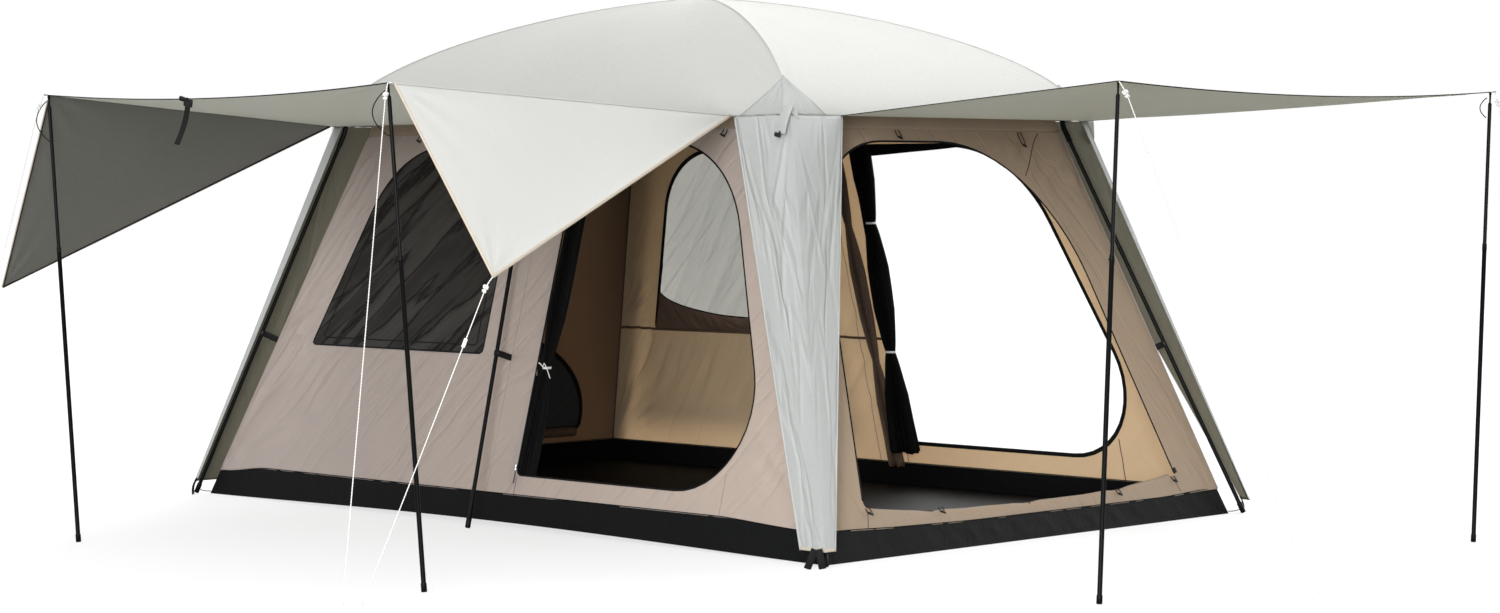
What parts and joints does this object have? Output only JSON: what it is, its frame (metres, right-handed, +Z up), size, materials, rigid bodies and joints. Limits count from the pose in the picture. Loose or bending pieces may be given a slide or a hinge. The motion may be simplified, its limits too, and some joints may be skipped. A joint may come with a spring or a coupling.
{
  "type": "cabin tent with awnings",
  "caption": "Pole-framed cabin tent: hung inner tent with mesh windows and open doors under a domed fly, with two flat awnings on telescoping poles and guy ropes.",
  "frame": {"origin": "middle of the groundsheet's underside, on the ground", "axes": "+X runs along the long side to the wide door's end, the front awning's wall faces -Y, +Z is up"},
  "size_m": [6.464, 5.0727, 2.456],
  "materials": {
    "fly": "coated woven polyester, pale grey, dull",
    "wall": "breathable woven polyester, tan, dull",
    "ceiling": "breathable woven polyester, tan, dull",
    "tub": "coated black groundsheet cloth, slight sheen",
    "mesh": "fine black insect mesh",
    "pole": "black, satin",
    "plastic": "black, moulded",
    "rope": "white braided cord",
    "webbing": "black webbing"
  },
  "bodies": {
    "tent": {"awning_front": "fly", "awning_side": "fly", "awning_wing_left": "fly", "awning_wing_right": "fly", "back_door_fabric_curtain": "ceiling", "back_door_mesh_curtain": "mesh", "corner_flap_a": "fly", "corner_flap_b": "fly", "corner_flap_c": "fly", "corner_flap_d": "fly", "crown_hub": "plastic", "end_door_rolled_panel": "wall", "fly_roof": "fly", "front_door_mesh_curtain": "mesh", "groundsheet_tub": "tub", "guy_rope_front_left": "rope", "guy_rope_front_right": "rope", "guy_rope_side_far": "rope", "guy_rope_side_near": "rope", "guy_rope_wing_left": "rope", "guy_rope_wing_right": "rope", "inner_ceiling": "ceiling", "inner_wall_back": "wall", "inner_wall_door_end": "wall", "inner_wall_front": "wall", "inner_wall_sleep_end": "wall", "leg_a": "pole", "leg_b": "pole", "leg_c": "pole", "leg_clip_a": "webbing", "leg_clip_b": "webbing", "leg_clip_c": "webbing", "leg_clip_d": "webbing", "leg_clip_mid_back": "webbing", "leg_clip_mid_front": "webbing", "leg_d": "pole", "leg_mid_back": "pole", "leg_mid_front": "pole", "rear_fly_panel": "fly", "roof_pole_a": "pole", "roof_pole_b": "pole", "roof_pole_c": "pole", "roof_pole_d": "pole", "roof_pole_mid_back": "pole", "roof_pole_mid_front": "pole", "vent_mesh_sleep_end": "mesh", "vent_rolled_cover": "wall", "window_mesh_back": "mesh", "window_mesh_front": "mesh"},
    "awning_pole_upper_front_left": {"awning_pole_upper_front_left": "pole"},
    "awning_pole_lower_front_left": {"awning_pole_lower_front_left": "pole"},
    "awning_pole_upper_front_right": {"awning_pole_upper_front_right": "pole"},
    "awning_pole_lower_front_right": {"awning_pole_lower_front_right": "pole"},
    "awning_pole_upper_side_near": {"awning_pole_upper_side_near": "pole"},
    "awning_pole_lower_side_near": {"awning_pole_lower_side_near": "pole"},
    "awning_pole_upper_side_far": {"awning_pole_upper_side_far": "pole"},
    "awning_pole_lower_side_far": {"awning_pole_lower_side_far": "pole"},
    "zip_slider_front_door": {"zip_slider_front_door": "plastic"},
    "zip_slider_end_door": {"zip_slider_end_door": "plastic"},
    "rope_runner": {"rope_runner": "plastic"}
  },
  "joints": [
    {"name": "pole_swing_front_left", "type": "hinge", "parent": "tent", "child": "awning_pole_upper_front_left", "pos_m": [-0.85456, -3.10377, 1.94164], "axis": [1, 0, 0], "range_deg": [0, 55]},
    {"name": "pole_telescope_front_left", "type": "slide", "parent": "awning_pole_upper_front_left", "child": "awning_pole_lower_front_left", "axis": [-0.0332, -0.0431, 0.9985], "range_m": [0, 0.5]},
    {"name": "pole_swing_front_right", "type": "hinge", "parent": "tent", "child": "awning_pole_upper_front_right", "pos_m": [1.50825, -3.10312, 1.93179], "axis": [1, 0, 0], "range_deg": [0, 55]},
    {"name": "pole_telescope_front_right", "type": "slide", "parent": "awning_pole_upper_front_right", "child": "awning_pole_lower_front_right", "axis": [-0.0474, -0.0429, 0.998], "range_m": [0, 0.5]},
    {"name": "pole_swing_side_near", "type": "hinge", "parent": "tent", "child": "awning_pole_upper_side_near", "pos_m": [3.61976, -1.33861, 1.92292], "axis": [0, 1, 0], "range_deg": [0, 55]},
    {"name": "pole_telescope_side_near", "type": "slide", "parent": "awning_pole_upper_side_near", "child": "awning_pole_lower_side_near", "axis": [-0.026, 0.0888, 0.9957], "range_m": [0, 0.5]},
    {"name": "pole_swing_side_far", "type": "hinge", "parent": "tent", "child": "awning_pole_upper_side_far", "pos_m": [3.62608, 1.23035, 1.93469], "axis": [0, 1, 0], "range_deg": [0, 55]},
    {"name": "pole_telescope_side_far", "type": "slide", "parent": "awning_pole_upper_side_far", "child": "awning_pole_lower_side_far", "axis": [0.0135, 0.0363, 0.9992], "range_m": [0, 0.5]},
    {"name": "zip_front_door", "type": "slide", "parent": "tent", "child": "zip_slider_front_door", "axis": [0, 0.2552, 0.9669], "range_m": [0, 1.3]},
    {"name": "zip_end_door", "type": "slide", "parent": "tent", "child": "zip_slider_end_door", "axis": [-0.3601, -0.1917, 0.913], "range_m": [0, 0.85]},
    {"name": "runner_slide", "type": "slide", "parent": "tent", "child": "rope_runner", "axis": [-0.129, -0.365, -0.922], "range_m": [-0.03, 0.1]}
  ]
}
